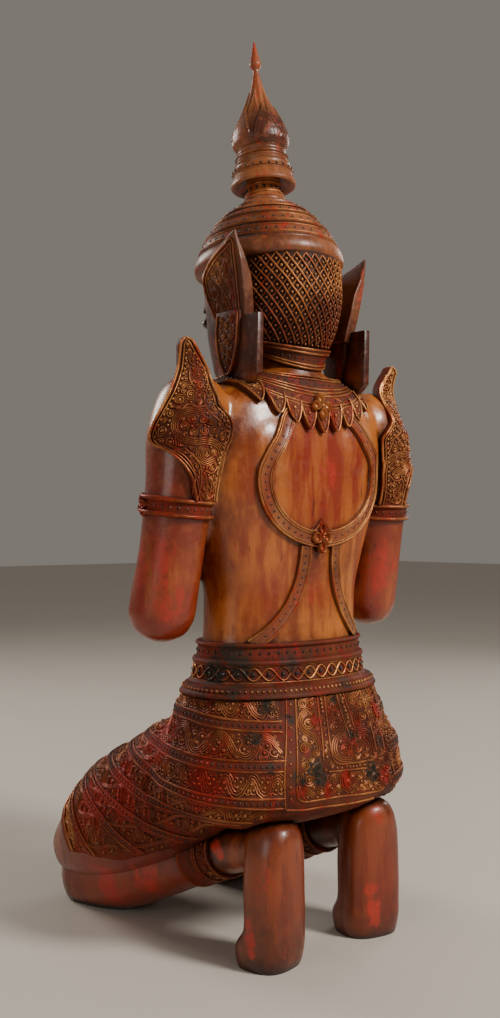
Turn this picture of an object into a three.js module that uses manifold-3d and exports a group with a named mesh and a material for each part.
// A kneeling theppanom: a celestial figure in prayer, carved from one block of wood.
// Millimetres, +Z up. The figure faces -Y, its left is +X, and X = 0 is its mirror plane.
import * as THREE from 'three';
import { ParametricGeometry } from 'three/addons/geometries/ParametricGeometry.js';
import { mergeVertices } from 'three/addons/utils/BufferGeometryUtils.js';
import Module from 'manifold-3d';

const wasm = await Module();
wasm.setup();

// The uncut block. Heights count from its underside, and the floor cut dresses that flat,
// so the finished figure stands 1182 mm tall.
const BLOCK_HEIGHT = 1200;
const FLOOR_CUT = 18;

// Head and crown
const CROWN_LEAN = THREE.MathUtils.degToRad(5.5);
const BRIM_HEIGHT = 888;
const BRIM_RADIUS = 99;
const HEAD_CENTRE_Y = 94;
const HEAD_HALF_WIDTH = 80;
const HEAD_HALF_DEPTH = 96;
const CHIN_HEIGHT = 724;
const NECK_RADIUS = 47;
const HAIR_RISE = 5;
const HAIR_ROOT = 1.5;

// Trunk
const SHOULDER_HALF_WIDTH = 152;
const WAIST_HALF_WIDTH = 115;
const TRUNK_CENTRE_Y = 112;
const BELT_TOP = 405;
const BELT_BOTTOM = 346;

// Legs
const SEAT_HALF_WIDTH = 178;
const SEAT_HALF_DEPTH = 125;
const HEM_HEIGHT = 178;
const THIGH_X = 97;
const THIGH_HALF_WIDTH = 78;
const THIGH_BANDS = 8;
const BAND_RISE = 4;
const FOOT_X = 83;
const FOOT_Y = 190;
const FOOT_TURN = THREE.MathUtils.degToRad(12);
const HEEL_HEIGHT = 192;

// Arms
const ARM_RADIUS = 41;
const ELBOW = new THREE.Vector3(182, 97, 441);
const WRIST = new THREE.Vector3(27, -38, 578);
const ARMBAND_HEIGHT = 568;
const FINGER_GROOVE = 3;

// Harness on the back
const LOOP_HEIGHT = 603;
const LOOP_HALF_WIDTH = 106;
const LOOP_HALF_HEIGHT = 75;
const STRAP_START_X = 20;
const STRAP_SPREAD = 74;
const STRAP_WIDTH = 17;
const STRAP_RISE = 6;

// Finish, for a plain preview
const LACQUER_COLOUR = 0x7a3d1c;
const LACQUER_ROUGHNESS = 0.42;
const LACQUER_METALNESS = 0.15;

const UP = new THREE.Vector3(0, 0, 1);
const ACROSS = new THREE.Vector3(1, 0, 0);
const MIRROR = new THREE.Matrix4().makeScale(-1, 1, 1);

// Solids

function signedVolume(position, index) {
  const a = new THREE.Vector3();
  const b = new THREE.Vector3();
  const c = new THREE.Vector3();
  let volume = 0;
  for (let i = 0; i < index.length; i += 3) {
    a.fromArray(position, index[i] * 3);
    b.fromArray(position, index[i + 1] * 3);
    c.fromArray(position, index[i + 2] * 3);
    volume += a.dot(b.cross(c)) / 6;
  }
  return volume;
}

function solidOf(geometry) {
  const bare = geometry.clone();
  bare.deleteAttribute('normal');
  bare.deleteAttribute('uv');
  const merged = mergeVertices(bare, 1e-3);
  const position = new Float32Array(merged.attributes.position.array);
  const kept = [];
  for (let i = 0; i < merged.index.count; i += 3) {
    const [a, b, c] = [0, 1, 2].map((k) => merged.index.getX(i + k));
    if (a !== b && b !== c && c !== a) kept.push(a, b, c);
  }
  if (signedVolume(position, kept) < 0) kept.reverse();
  return new wasm.Manifold(new wasm.Mesh({
    numProp: 3,
    vertProperties: position,
    triVerts: new Uint32Array(kept),
  }));
}

function pairOf(geometry) {
  return [solidOf(geometry), solidOf(geometry.clone().applyMatrix4(MIRROR))];
}

function join(solids) {
  return solids.reduce((whole, solid) => whole.add(solid));
}

function geometryOf(solid) {
  const mesh = solid.getMesh();
  const geometry = new THREE.BufferGeometry();
  geometry.setAttribute('position', new THREE.BufferAttribute(new Float32Array(mesh.vertProperties), 3));
  geometry.setIndex(new THREE.BufferAttribute(new Uint32Array(mesh.triVerts), 1));
  return geometry;
}

// Shapes

// One number of a rounded square's outline: power 2 is an ellipse, more is squarer.
function squared(value, power) {
  return Math.sign(value) * Math.abs(value) ** (2 / power);
}

// A closed surface through rings: ring(v, angle) gives a point for v from 0 to 1.
function sleeve(ring, around, rings) {
  const rows = rings + 1;
  const geometry = new ParametricGeometry((u, v, target) => {
    const row = Math.round(v * rows);
    const step = Math.round(u * around) % around;
    const angle = (step / around) * Math.PI * 2;
    if (row === 0 || row === rows) {
      const end = row === 0 ? 0 : 1;
      target.copy(ring(end, 0)).add(ring(end, Math.PI)).multiplyScalar(0.5);
      return;
    }
    target.copy(ring((row - 1) / (rings - 1), angle));
  }, around, rows);
  return geometry;
}

// Smooth values between stations, each a list of six numbers:
// x, y, z of the centre, half width, half depth and squareness.
class Stations {
  constructor(list) {
    this.centres = new THREE.CatmullRomCurve3(list.map(([x, y, z]) => new THREE.Vector3(x, y, z)));
    this.sizes = new THREE.CatmullRomCurve3(list.map(([, , , w, d, n]) => new THREE.Vector3(w, d, n)));
  }

  at(v) {
    return { centre: this.centres.getPoint(v), size: this.sizes.getPoint(v) };
  }

  // The station value v whose centre lies at height z, for trunks that only rise.
  valueAtHeight(z) {
    let low = 0;
    let high = 1;
    for (let i = 0; i < 24; i += 1) {
      const middle = (low + high) / 2;
      if (this.centres.getPoint(middle).z < z) low = middle;
      else high = middle;
    }
    return (low + high) / 2;
  }
}

// A body of level sections, proud of its stations by the swell.
function levelRing(stations, swell = 0) {
  return (v, angle) => {
    const { centre, size } = stations.at(v);
    return new THREE.Vector3(
      centre.x + (size.x + swell) * squared(Math.cos(angle), size.z),
      centre.y + (size.y + swell) * squared(Math.sin(angle), size.z),
      centre.z,
    );
  };
}

function levelBody(stations, around, rings) {
  return sleeve(levelRing(stations), around, rings);
}

// A limb whose sections stand across its own axis.
function limb(stations, around, rings) {
  return sleeve((v, angle) => {
    const { centre, size } = stations.at(v);
    const along = stations.centres.getTangent(v);
    const wide = ACROSS.clone().addScaledVector(along, -along.dot(ACROSS)).normalize();
    const deep = new THREE.Vector3().crossVectors(along, wide);
    return centre
      .addScaledVector(wide, size.x * squared(Math.cos(angle), size.z))
      .addScaledVector(deep, size.y * squared(Math.sin(angle), size.z));
  }, around, rings);
}

// A flat outline in the XZ plane, made a slab from y0 to y1.
function slabXZ(points, y0, y1) {
  const shape = new THREE.Shape(points.map(([x, z]) => new THREE.Vector2(x, z)));
  const geometry = new THREE.ExtrudeGeometry(shape, { depth: y1 - y0, bevelEnabled: false });
  return geometry.rotateX(Math.PI / 2).translate(0, y1, 0);
}

// A flat outline in the YZ plane, made a plate from x0 to x1.
function plateYZ(points, x0, x1) {
  const shape = new THREE.Shape(points.map(([y, z]) => new THREE.Vector2(y, z)));
  const geometry = new THREE.ExtrudeGeometry(shape, { depth: x1 - x0, bevelEnabled: false });
  return geometry.rotateX(Math.PI / 2).rotateZ(Math.PI / 2).translate(x0, 0, 0);
}

// A strap laid on a surface, with its root sunk into it.
function strap(surface, route, steps, closed, width = STRAP_WIDTH, rise = STRAP_RISE) {
  const profile = [
    [-0.5, -6],
    [-0.4, rise],
    [0.4, rise],
    [0.5, -6],
  ];
  const place = (t) => {
    const [x, z] = route(t);
    return surface(x, z);
  };
  const frameAt = (t) => {
    const [x, z] = route(t);
    const here = surface(x, z);
    const side = surface(x + 1, z).sub(here);
    const rising = surface(x, z + 1).sub(here);
    const normal = side.cross(rising).normalize();
    if (normal.y < 0) normal.negate();
    const along = place(t + 1e-3).sub(place(t - 1e-3)).normalize();
    const across = new THREE.Vector3().crossVectors(along, normal).normalize();
    return { here, normal, across };
  };
  const sides = profile.length;
  const point = (t, k) => {
    const { here, normal, across } = frameAt(t);
    const [offset, height] = profile[k % sides];
    return here.addScaledVector(across, offset * width).addScaledVector(normal, height);
  };
  if (closed) {
    return new ParametricGeometry((u, v, target) => {
      const step = Math.round(v * steps) % steps;
      target.copy(point(step / steps, Math.round(u * sides)));
    }, sides, steps);
  }
  const rows = steps + 2;
  return new ParametricGeometry((u, v, target) => {
    const row = Math.round(v * rows);
    if (row === 0 || row === rows) {
      target.copy(frameAt(row === 0 ? 0 : 1).here);
      return;
    }
    target.copy(point((row - 1) / steps, Math.round(u * sides)));
  }, sides, rows);
}

// A flower of four petals round a bead, facing along the given direction.
function rosette(centre, facing, size) {
  const turn = new THREE.Quaternion().setFromUnitVectors(UP, facing.clone().normalize());
  const around = 12;
  const flower = sleeve((v, angle) => {
    const [share, height] = [[1, -1.2], [1, 0.1], [0.35, 0.35]][Math.round(v * 2)];
    const radius = size * share * (0.8 + 0.25 * Math.cos(angle * 4));
    return new THREE.Vector3(radius * Math.cos(angle), radius * Math.sin(angle), height * size);
  }, around, 3);
  return solidOf(flower.applyQuaternion(turn).translate(centre.x, centre.y, centre.z));
}

// Trunk

const TRUNK = new Stations([
  [0, 108, 320, 124, 84, 2.2],
  [0, TRUNK_CENTRE_Y, 410, WAIST_HALF_WIDTH, 68, 2.2],
  [0, TRUNK_CENTRE_Y + 1, 460, WAIST_HALF_WIDTH, 68, 2.2],
  [0, TRUNK_CENTRE_Y, 520, 131, 74, 2.3],
  [0, TRUNK_CENTRE_Y - 1, 585, 147, 78, 2.8],
  [0, TRUNK_CENTRE_Y - 1, 650, SHOULDER_HALF_WIDTH, 78, 3],
  [0, TRUNK_CENTRE_Y + 1, 695, 145, 70, 2.7],
  [0, TRUNK_CENTRE_Y + 4, 720, 112, 58, 2.2],
  [0, TRUNK_CENTRE_Y + 6, 740, 66, 51, 2],
]);

const NECK = new Stations([
  [0, 120, 715, NECK_RADIUS + 12, NECK_RADIUS + 8, 2],
  [0, 120, 742, NECK_RADIUS + 1, NECK_RADIUS + 1, 2],
  [0, 117, 765, NECK_RADIUS, NECK_RADIUS, 2],
  [0, 108, 800, NECK_RADIUS, NECK_RADIUS, 2],
]);

// The point on the back of a level body at the given x and height.
function backOf(stations) {
  return (x, z) => {
    const { centre, size } = stations.at(stations.valueAtHeight(z));
    const share = Math.min(Math.abs(x) / size.x, 0.999);
    const depth = size.y * (1 - share ** size.z) ** (1 / size.z);
    return new THREE.Vector3(x, centre.y + depth, z);
  };
}

function breast() {
  const muscle = new THREE.SphereGeometry(1, 8, 4);
  muscle.scale(52, 22, 34).translate(56, 44, 640);
  return pairOf(muscle);
}

function trunk() {
  return join([
    solidOf(levelBody(TRUNK, 16, 8)),
    solidOf(levelBody(NECK, 10, 3)),
    ...breast(),
  ]);
}

// Seat and skirt

const SEAT = new Stations([
  [0, 112, HEM_HEIGHT, 126, 86, 2.6],
  [0, 110, 194, 158, 113, 2.5],
  [0, 109, 218, SEAT_HALF_WIDTH, SEAT_HALF_DEPTH, 2.4],
  [0, 109, 255, 173, 121, 2.4],
  [0, 110, 300, 153, 103, 2.3],
  [0, 112, 350, 136, 86, 2.2],
]);

// The thigh from the hip to the knee: its cloth is cut by planes that fan out towards the knee.
const THIGH_ROUTE = new THREE.CatmullRomCurve3([
  new THREE.Vector3(THIGH_X - 6, 104, 284),
  new THREE.Vector3(THIGH_X - 2, 54, 226),
  new THREE.Vector3(THIGH_X, -15, 180),
  new THREE.Vector3(THIGH_X, -85, 138),
  new THREE.Vector3(THIGH_X, -145, 104),
  new THREE.Vector3(THIGH_X, -188, 82),
  new THREE.Vector3(THIGH_X, -210, 72),
]);
const THIGH_SIZES = new THREE.CatmullRomCurve3([
  new THREE.Vector3(60, 88, 8),
  new THREE.Vector3(THIGH_HALF_WIDTH - 2, 98, 22),
  new THREE.Vector3(THIGH_HALF_WIDTH, 97, 34),
  new THREE.Vector3(THIGH_HALF_WIDTH, 85, 46),
  new THREE.Vector3(THIGH_HALF_WIDTH - 6, 67, 54),
  new THREE.Vector3(THIGH_HALF_WIDTH - 16, 47, 58),
  new THREE.Vector3(THIGH_HALF_WIDTH - 32, 28, 60),
]);

function thighPoint(v, angle, rise) {
  const centre = THIGH_ROUTE.getPoint(v);
  const size = THIGH_SIZES.getPoint(v);
  const slope = THREE.MathUtils.degToRad(size.z);
  const steep = new THREE.Vector3(0, -Math.cos(slope), Math.sin(slope));
  return centre
    .addScaledVector(ACROSS, (size.x + rise) * squared(Math.cos(angle), 2.3))
    .addScaledVector(steep, (size.y + rise) * squared(Math.sin(angle), 2.3));
}

// Each band is a raised edge with a lower field behind it.
function thigh() {
  const perBand = 2;
  const rings = THIGH_BANDS * perBand;
  const lift = [BAND_RISE, 0];
  const shift = [0.08, 0.98];
  const geometry = sleeve((v, angle) => {
    const ring = Math.round(v * (rings - 1));
    const band = Math.floor(ring / perBand);
    const part = ring % perBand;
    const last = ring === rings - 1;
    const value = last ? 1 : (band + shift[part]) / THIGH_BANDS;
    return thighPoint(value, angle, last ? 0 : lift[part]);
  }, 12, rings);
  return pairOf(geometry);
}

function seatStrips() {
  const surface = backOf(SEAT);
  const top = BELT_BOTTOM - 2;
  const bottom = HEM_HEIGHT + 24;
  const strips = [0, 78, -78].map((x) => {
    const route = (t) => [x * (1 + 0.16 * Math.sin(t * Math.PI)), top + (bottom - top) * t];
    return solidOf(strap(surface, route, 4, false, 11, 4));
  });
  const hem = (t) => [-130 + 260 * t, bottom - 4];
  strips.push(solidOf(strap(surface, hem, 8, false, 9, 4)));
  return strips;
}

function seat() {
  return join([solidOf(levelBody(SEAT, 18, 5)), ...thigh(), ...seatStrips()]);
}

// A stepped belt round the waist: height above its lower edge, and how far it stands out.
function belt() {
  const tall = BELT_TOP - BELT_BOTTOM;
  const steps = [
    [0, 10],
    [0.13, 10],
    [0.17, 5],
    [0.57, 6],
    [0.6, 9],
    [0.67, 4],
    [0.92, 4],
    [1, 8],
  ];
  const geometry = sleeve((v, angle) => {
    const [share, swell] = steps[Math.round(v * (steps.length - 1))];
    const z = BELT_BOTTOM + share * tall;
    return levelRing(TRUNK, swell)(TRUNK.valueAtHeight(z), angle);
  }, 16, steps.length);
  return solidOf(geometry);
}

// Lower legs

const SHIN = new Stations([
  [THIGH_X, -196, 44, 44, 44, 2.2],
  [THIGH_X, -165, 50, 56, 54, 2.2],
  [THIGH_X - 2, -90, 68, 54, 50, 2.2],
  [THIGH_X - 6, 0, 100, 48, 42, 2.1],
  [THIGH_X - 12, 90, 132, 36, 32, 2],
  [FOOT_X + 2, 150, 150, 32, 28, 2],
  [FOOT_X, FOOT_Y, 158, 30, 26, 2],
]);

// The foot stands on its toes, sole to the back, measured from the middle of the ankle.
const FOOT = new Stations([
  [0, -7, 6, 34, 28, 2.6],
  [0, -7, 24, 39, 35, 2.8],
  [0, -6, 42, 41, 37, 2.8],
  [0, 0, 62, 40, 30, 2.8],
  [0, 0, 110, 40, 30, 2.8],
  [0, 0, 150, 38, 31, 2.6],
  [0, 0, 172, 33, 31, 2.4],
  [0, 0, 186, 25, 25, 2.2],
  [0, -1, HEEL_HEIGHT + 1, 9, 9, 2],
]);

function anklet() {
  const profile = [
    [0, 4],
    [0.34, 1.5],
    [0.66, 1.5],
    [1, 4],
  ];
  const from = 0.6;
  const to = 0.72;
  const rings = profile.length;
  const geometry = sleeve((v, angle) => {
    const [share, swell] = profile[Math.round(v * (rings - 1))];
    const value = from + (to - from) * share;
    const { centre, size } = SHIN.at(value);
    const along = SHIN.centres.getTangent(value);
    const deep = new THREE.Vector3().crossVectors(along, ACROSS).normalize();
    return centre
      .addScaledVector(ACROSS, (size.x + swell) * Math.cos(angle))
      .addScaledVector(deep, (size.y + swell) * Math.sin(angle));
  }, 8, rings);
  return pairOf(geometry);
}

function lowerLegs() {
  const foot = levelBody(FOOT, 12, 8).rotateZ(FOOT_TURN).translate(FOOT_X, FOOT_Y, 0);
  return join([...pairOf(limb(SHIN, 8, 6)), ...pairOf(foot), ...anklet()]);
}

// Arms and hands

const UPPER_ARM = new Stations([
  [128, 116, 706, 34, 34, 2],
  [150, 119, 686, 47, 47, 2],
  [165, 121, 650, 47, 48, 2],
  [176, 122, 590, 40, 41, 2],
  [179, 112, 515, 39, 40, 2],
  [ELBOW.x, ELBOW.y, ELBOW.z, ARM_RADIUS, ARM_RADIUS, 2],
  [ELBOW.x, ELBOW.y - 4, ELBOW.z - 24, 32, 32, 2],
  [ELBOW.x, ELBOW.y - 6, ELBOW.z - 36, 12, 12, 2],
]);

const FOREARM = new Stations([
  [ELBOW.x + 2, ELBOW.y + 12, ELBOW.z - 8, 30, 30, 2],
  [ELBOW.x - 20, ELBOW.y - 20, ELBOW.z + 14, 36, 35, 2],
  [118, 32, 494, 31, 30, 2],
  [66, -10, 546, 23, 23, 2],
  [WRIST.x, WRIST.y, WRIST.z, 17, 22, 2],
]);

// The palm and the four straight fingers, pressed against the other hand.
const HAND = new Stations([
  [14, -36, 566, 12, 18, 2.2],
  [12, -42, 590, 13, 27, 2.4],
  [11, -48, 620, 12, 31, 2.5],
  [10, -55, 652, 10, 30, 2.6],
  [9, -62, 686, 8.5, 26, 2.6],
  [8, -67, 712, 7, 17, 2.4],
  [7, -69, 722, 4, 8, 2],
]);

const THUMB = new Stations([
  [9, -22, 606, 8, 8, 2],
  [8, -18, 634, 8, 8, 2],
  [7, -24, 656, 6, 6, 2],
  [7, -27, 664, 2.5, 2.5, 2],
]);

// Four fingers: the outer face of the hand has ridges with grooves between them.
function hand() {
  const around = 16;
  const ring = (v, angle) => {
    const point = levelRing(HAND)(v, angle);
    const step = Math.round((angle / (Math.PI * 2)) * around);
    const groove = v > 0.3 && Math.cos(angle) > 0 && step % 2 === 1;
    return groove ? point.setX(point.x - FINGER_GROOVE) : point;
  };
  return pairOf(sleeve(ring, around, 5));
}

function armband(height) {
  const band = 24;
  const profile = [
    [0, 3],
    [0.16, 5],
    [0.4, 2],
    [0.6, 2],
    [0.84, 5],
    [1, 3],
  ];
  const rings = profile.length;
  const middle = UPPER_ARM.centres;
  let value = 0;
  while (middle.getPoint(value).z > height) value += 1e-3;
  const { centre, size } = UPPER_ARM.at(value);
  const along = middle.getTangent(value);
  const wide = ACROSS.clone().addScaledVector(along, -along.dot(ACROSS)).normalize();
  const deep = new THREE.Vector3().crossVectors(along, wide);
  const geometry = sleeve((v, angle) => {
    const [share, swell] = profile[Math.round(v * (rings - 1))];
    return centre.clone()
      .addScaledVector(along, (share - 0.5) * band)
      .addScaledVector(wide, (size.x + swell) * Math.cos(angle))
      .addScaledVector(deep, (size.y + swell) * Math.sin(angle));
  }, 10, rings);
  const outward = new THREE.Vector3(0.94, -0.34, 0);
  const at = centre.clone().addScaledVector(outward, size.x + 4);
  const flower = rosette(at, outward, 13);
  return [...pairOf(geometry), flower, flower.mirror([1, 0, 0])];
}

function arms() {
  return join([
    ...hand(),
    ...pairOf(levelBody(THUMB, 5, 3)),
    ...pairOf(limb(UPPER_ARM, 10, 6)),
    ...pairOf(limb(FOREARM, 8, 4)),
    ...armband(ARMBAND_HEIGHT),
  ]);
}

// Shoulder wings: a flame of scrollwork that wraps the shoulder and stands up above it.
// Each station gives the height, the angles round the shoulder of the two edges
// (0 faces back, 90 outwards), the shoulder's centre, and the radius to the wing's face.
const WING = [
  { z: 596, from: 22, to: 62, x: 176, y: 121, inner: 30, r: 48 },
  { z: 622, from: 10, to: 66, x: 172, y: 121, inner: 32, r: 52 },
  { z: 640, from: 0, to: 80, x: 167, y: 121, inner: 36, r: 55 },
  { z: 652, from: -10, to: 104, x: 162, y: 120, inner: 38, r: 58 },
  { z: 670, from: -16, to: 96, x: 158, y: 119, inner: 38, r: 59 },
  { z: 692, from: -18, to: 74, x: 156, y: 113, inner: 40, r: 57 },
  { z: 712, from: -14, to: 54, x: 157, y: 102, inner: 41, r: 55 },
  { z: 732, from: -12, to: 42, x: 159, y: 95, inner: 41, r: 54 },
  { z: 750, from: -2, to: 34, x: 165, y: 92, inner: 43, r: 56 },
  { z: 765, from: 12, to: 24, x: 169, y: 91, inner: 46, r: 58 },
];

function wing() {
  const half = 5;
  const place = (row, angle, radius) => {
    const turn = THREE.MathUtils.degToRad(angle);
    return new THREE.Vector3(row.x + radius * Math.sin(turn), row.y + radius * Math.cos(turn), row.z);
  };
  const ring = (v, loop) => {
    const row = WING[Math.round(v * (WING.length - 1))];
    const step = Math.round((loop / (Math.PI * 2)) * half * 2) % (half * 2);
    const outside = step < half;
    const share = (outside ? step : half * 2 - 1 - step) / (half - 1);
    const edge = share === 0 || share === 1;
    const angle = row.from + (row.to - row.from) * share;
    const proud = outside ? row.r + (edge ? 2 : -1) : row.inner;
    return place(row, angle, proud);
  };
  return pairOf(sleeve(ring, half * 2, WING.length));
}

// Collar: a band with a fringe of pointed pendants, laid on the shoulders.
function collar() {
  const reach = 104;
  const pendants = 9;
  const pitch = (reach * 2) / pendants;
  const lower = (x) => 699 + 24 * (x / reach) ** 2;
  const drop = 22;
  const outline = [[-reach, 760], [-reach, lower(reach)]];
  for (let i = 0; i < pendants; i += 1) {
    const x = -reach + pitch * i;
    outline.push([x + pitch * 0.5, lower(x + pitch * 0.5) - drop]);
    outline.push([x + pitch, lower(x + pitch)]);
  }
  outline.push([reach, 760]);
  const cutter = solidOf(slabXZ(outline, 0, 240));
  const over = new Stations([
    [0, TRUNK_CENTRE_Y, 670, 156, 82, 2.9],
    [0, TRUNK_CENTRE_Y + 1, 698, 149, 75, 2.7],
    [0, TRUNK_CENTRE_Y + 4, 724, 116, 63, 2.2],
    [0, TRUNK_CENTRE_Y + 6, 745, 70, 56, 2],
    [0, TRUNK_CENTRE_Y + 7, 756, 50, 50, 2],
  ]);
  const band = solidOf(levelBody(over, 16, 3)).intersect(cutter);
  const flower = rosette(new THREE.Vector3(0, 186, 708), new THREE.Vector3(0, 1, 0.25), 15);
  const front = rosette(new THREE.Vector3(0, 43, 708), new THREE.Vector3(0, -1, 0.35), 15);
  return [band, flower, front];
}

// Harness: a round loop on the back with a notch below, and two straps to the belt.
function harness() {
  const surface = backOf(TRUNK);
  const loop = (t) => {
    const angle = (t - 0.25) * Math.PI * 2;
    const notch = Math.max(0, Math.cos(angle + Math.PI / 2)) ** 40;
    const height = LOOP_HALF_HEIGHT - 13 * notch;
    return [LOOP_HALF_WIDTH * Math.cos(angle), LOOP_HEIGHT + height * Math.sin(angle)];
  };
  const parts = [solidOf(strap(surface, loop, 24, true))];
  for (const side of [1, -1]) {
    const top = LOOP_HEIGHT - LOOP_HALF_HEIGHT - 8;
    const route = (t) => [side * (STRAP_START_X + STRAP_SPREAD * t * t), top + (BELT_TOP - top) * t];
    parts.push(solidOf(strap(surface, route, 6, false, 14, 5)));
  }
  const centre = surface(0, LOOP_HEIGHT - LOOP_HALF_HEIGHT);
  centre.y += 3;
  parts.push(rosette(centre, new THREE.Vector3(0, 1, 0), 16));
  return parts;
}

// Head

const HEAD = new Stations([
  [0, 38, CHIN_HEIGHT, 20, 20, 2],
  [0, 48, CHIN_HEIGHT + 10, 38, 38, 2],
  [0, 66, 752, 54, 60, 2.1],
  [0, 86, 773, 65, 81, 2.1],
  [0, HEAD_CENTRE_Y - 2, 802, 75, 91, 2.1],
  [0, HEAD_CENTRE_Y, 842, HEAD_HALF_WIDTH, HEAD_HALF_DEPTH, 2.1],
  [0, HEAD_CENTRE_Y, 884, HEAD_HALF_WIDTH, HEAD_HALF_DEPTH - 2, 2.1],
  [0, HEAD_CENTRE_Y, 915, 60, 70, 2],
]);

// The face is divided in three equal parts: chin, nose and brow, and the hairline.
const FACE_THIRD = (BRIM_HEIGHT - CHIN_HEIGHT) / 3;
const NOSE_BASE = CHIN_HEIGHT + FACE_THIRD;
const BROW_HEIGHT = CHIN_HEIGHT + FACE_THIRD * 2;
const MOUTH_HEIGHT = CHIN_HEIGHT + FACE_THIRD * 0.66;
const EYE_HEIGHT = BROW_HEIGHT - 14;

function faceY(x, z) {
  const { centre, size } = HEAD.at(HEAD.valueAtHeight(z));
  return centre.y - size.y * (1 - (Math.abs(x) / size.x) ** size.z) ** (1 / size.z);
}

function ball(x, y, z, wide, deep, tall) {
  const geometry = new THREE.SphereGeometry(1, 8, 4);
  return geometry.scale(wide, deep, tall).translate(x, y, z);
}

function face() {
  const nose = new Stations([
    [0, faceY(0, NOSE_BASE) + 4, NOSE_BASE - 4, 9, 12, 2],
    [0, faceY(0, NOSE_BASE) - 2, NOSE_BASE + 3, 15, 15, 2],
    [0, faceY(0, NOSE_BASE) + 2, NOSE_BASE + 16, 9, 15, 2],
    [0, faceY(0, BROW_HEIGHT) + 6, BROW_HEIGHT, 8, 10, 2],
  ]);
  const browRoute = new THREE.CatmullRomCurve3([8, 26, 46, 60].map((x, i) => {
    const z = BROW_HEIGHT + [0, 8, 7, -2][i];
    return new THREE.Vector3(x, faceY(x, z) + 1, z);
  }));
  const browShape = new THREE.Shape([
    new THREE.Vector2(-3, -3),
    new THREE.Vector2(3, -3),
    new THREE.Vector2(3, 3),
    new THREE.Vector2(-3, 3),
  ]);
  const brow = new THREE.ExtrudeGeometry(browShape, { extrudePath: browRoute, steps: 4, bevelEnabled: false });
  return [
    solidOf(levelBody(nose, 8, 4)),
    ...pairOf(brow),
    ...pairOf(ball(32, faceY(32, EYE_HEIGHT) + 5, EYE_HEIGHT, 17, 9, 8)),
    solidOf(ball(0, faceY(0, MOUTH_HEIGHT + 4) + 5, MOUTH_HEIGHT + 4, 21, 9, 5)),
    solidOf(ball(0, faceY(0, MOUTH_HEIGHT - 5) + 5, MOUTH_HEIGHT - 5, 17, 9, 5.5)),
    solidOf(ball(0, 26, CHIN_HEIGHT + 10, 18, 14, 13)),
  ];
}

// Netted hair at the back: diamonds raised and sunk by turns, above a nape band.
function hairNet() {
  const around = 20;
  const rows = 9;
  const low = 762;
  const high = 892;
  const geometry = sleeve((v, angle) => {
    const row = Math.round(v * (rows - 1));
    const step = Math.round((angle / (Math.PI * 2)) * around) % around;
    const z = low + (high - low) * v;
    const rise = (row + step) % 2 ? HAIR_RISE : HAIR_ROOT;
    return levelRing(HEAD, rise)(HEAD.valueAtHeight(z), angle);
  }, around, rows);
  const behind = new THREE.BoxGeometry(240, 160, 400).translate(0, HEAD_CENTRE_Y + 80 + 6, 830);
  return solidOf(geometry).intersect(solidOf(behind));
}

function napeBand() {
  const profile = [
    [744, 0],
    [748, 6],
    [755, 3],
    [762, 4],
    [768, 8],
    [773, 0],
  ];
  const rings = profile.length;
  const geometry = sleeve((v, angle) => {
    const [z, swell] = profile[Math.round(v * (rings - 1))];
    const share = (z - 744) / 29;
    return new THREE.Vector3(
      (50 + 12 * share + swell) * Math.cos(angle),
      118 - 6 * share + (49 + 11 * share + swell) * Math.sin(angle),
      z,
    );
  }, 14, rings);
  const behind = new THREE.BoxGeometry(240, 120, 100).translate(0, 118 + 60, 758);
  return solidOf(geometry).intersect(solidOf(behind));
}

// Ear ornaments: a leaf that sweeps up and out, and a lobe plate that hangs below it.
function earOrnaments() {
  const leaf = plateYZ([
    [104, 792],
    [92, 816],
    [82, 844],
    [82, 866],
    [104, 886],
    [132, 900],
    [156, 912],
    [160, 876],
    [158, 836],
    [152, 792],
  ], -8, 8);
  leaf.rotateY(THREE.MathUtils.degToRad(11));
  leaf.translate(89 - 800 * Math.sin(THREE.MathUtils.degToRad(11)), 0, 12);
  const lobe = plateYZ([
    [104, 812],
    [102, 780],
    [110, 748],
    [124, 728],
    [136, 744],
    [142, 776],
    [140, 812],
  ], 84, 104);
  const plate = plateYZ([
    [118, 804],
    [122, 738],
    [136, 722],
    [164, 720],
    [178, 732],
    [180, 804],
  ], 90, 100);
  return [...pairOf(leaf), ...pairOf(lobe), ...pairOf(plate), ...pairOf(ball(78, 100, 815, 14, 20, 34))];
}

// Crown

// Radius and height above the brim, from the rolled brim up to the neck of the spire.
const DOME_PROFILE = [
  [0, -10],
  [94, -10],
  [BRIM_RADIUS, -2],
  [95, 13],
  [90, 16],
  [86, 32],
  [81, 34],
  [73, 50],
  [68, 51],
  [62, 63],
  [57, 64],
  [46, 75],
  [42, 76],
  [31, 86],
  [26.5, 87],
  [21.5, 113],
  [21, 122],
  [0, 122],
];

const SPIRE_PROFILE = [
  [0, 112],
  [40, 109],
  [43.5, 113],
  [38.5, 126],
  [38, 134],
  [34, 135],
  [34, 148],
  [31, 149],
  [31, 163],
  [0, 164],
];

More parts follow.
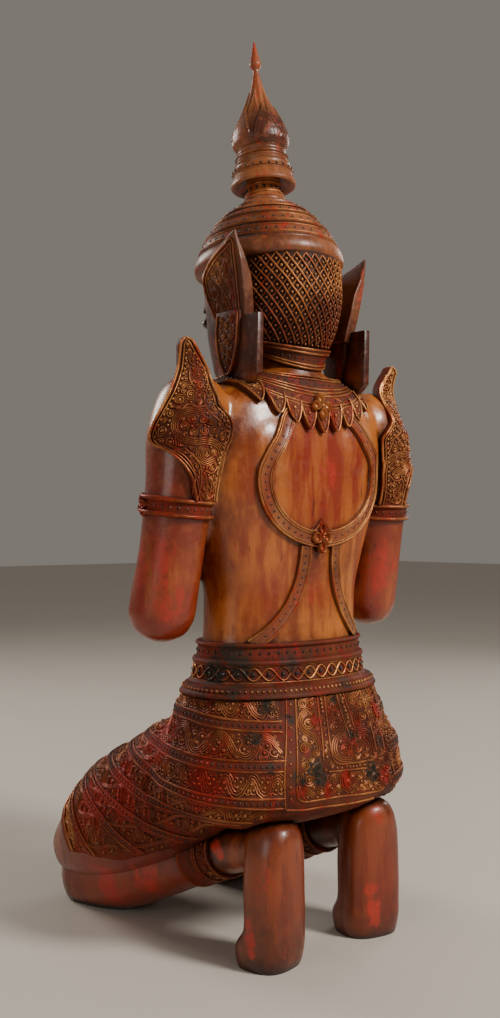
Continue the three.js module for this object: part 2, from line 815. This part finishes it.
// The flame bud: eight petals folded up into a long stem with a knob and a spearhead.
const BUD = [
  [28, 156],
  [38, 168],
  [31.5, 194],
  [21, 214],
  [13, 234],
  [7, 256],
  [3.8, 274],
  [8.2, 281],
  [5.5, 293],
  [1.5, 313.6],
];

function lathe(profile, segments) {
  const points = profile.map(([r, h]) => new THREE.Vector2(r, h));
  return new THREE.LatheGeometry(points, segments).rotateX(Math.PI / 2);
}

function crown() {
  const fluted = sleeve((v, angle) => {
    const [radius, height] = BUD[Math.round(v * (BUD.length - 1))];
    const depth = 0.13 * THREE.MathUtils.smoothstep(280 - height, 10, 90);
    const r = radius * (1 - depth * (0.5 - 0.5 * Math.cos(angle * 8)));
    return new THREE.Vector3(r * Math.cos(angle), r * Math.sin(angle), height);
  }, 16, BUD.length);
  return [lathe(DOME_PROFILE, 16), lathe(SPIRE_PROFILE, 12), fluted].map((geometry) => {
    geometry.rotateX(CROWN_LEAN).translate(0, HEAD_CENTRE_Y - 4, BRIM_HEIGHT);
    return solidOf(geometry);
  });
}

// The whole figure, cut flat where the knees and toes stand on the floor

function statue() {
  const whole = join([
    trunk(),
    seat(),
    belt(),
    lowerLegs(),
    arms(),
    ...wing(),
    ...collar(),
    ...harness(),
    solidOf(levelBody(HEAD, 16, 8)),
    ...face(),
    hairNet(),
    napeBand(),
    ...earOrnaments(),
    ...crown(),
  ]);
  const floor = new THREE.BoxGeometry(BLOCK_HEIGHT, BLOCK_HEIGHT, BLOCK_HEIGHT);
  floor.translate(0, 0, FLOOR_CUT - BLOCK_HEIGHT / 2);
  return whole.subtract(solidOf(floor));
}

// The origin is on the floor, under the middle of the figure's box.
function centred(geometry) {
  geometry.computeBoundingBox();
  const { min, max } = geometry.boundingBox;
  return geometry.translate(0, -(min.y + max.y) / 2, -FLOOR_CUT);
}

const material = new THREE.MeshStandardMaterial({
  color: LACQUER_COLOUR,
  roughness: LACQUER_ROUGHNESS,
  metalness: LACQUER_METALNESS,
});
const figure = new THREE.Mesh(centred(geometryOf(statue())), material);
figure.name = 'statue';

const group = new THREE.Group();
group.add(figure);

export default group;
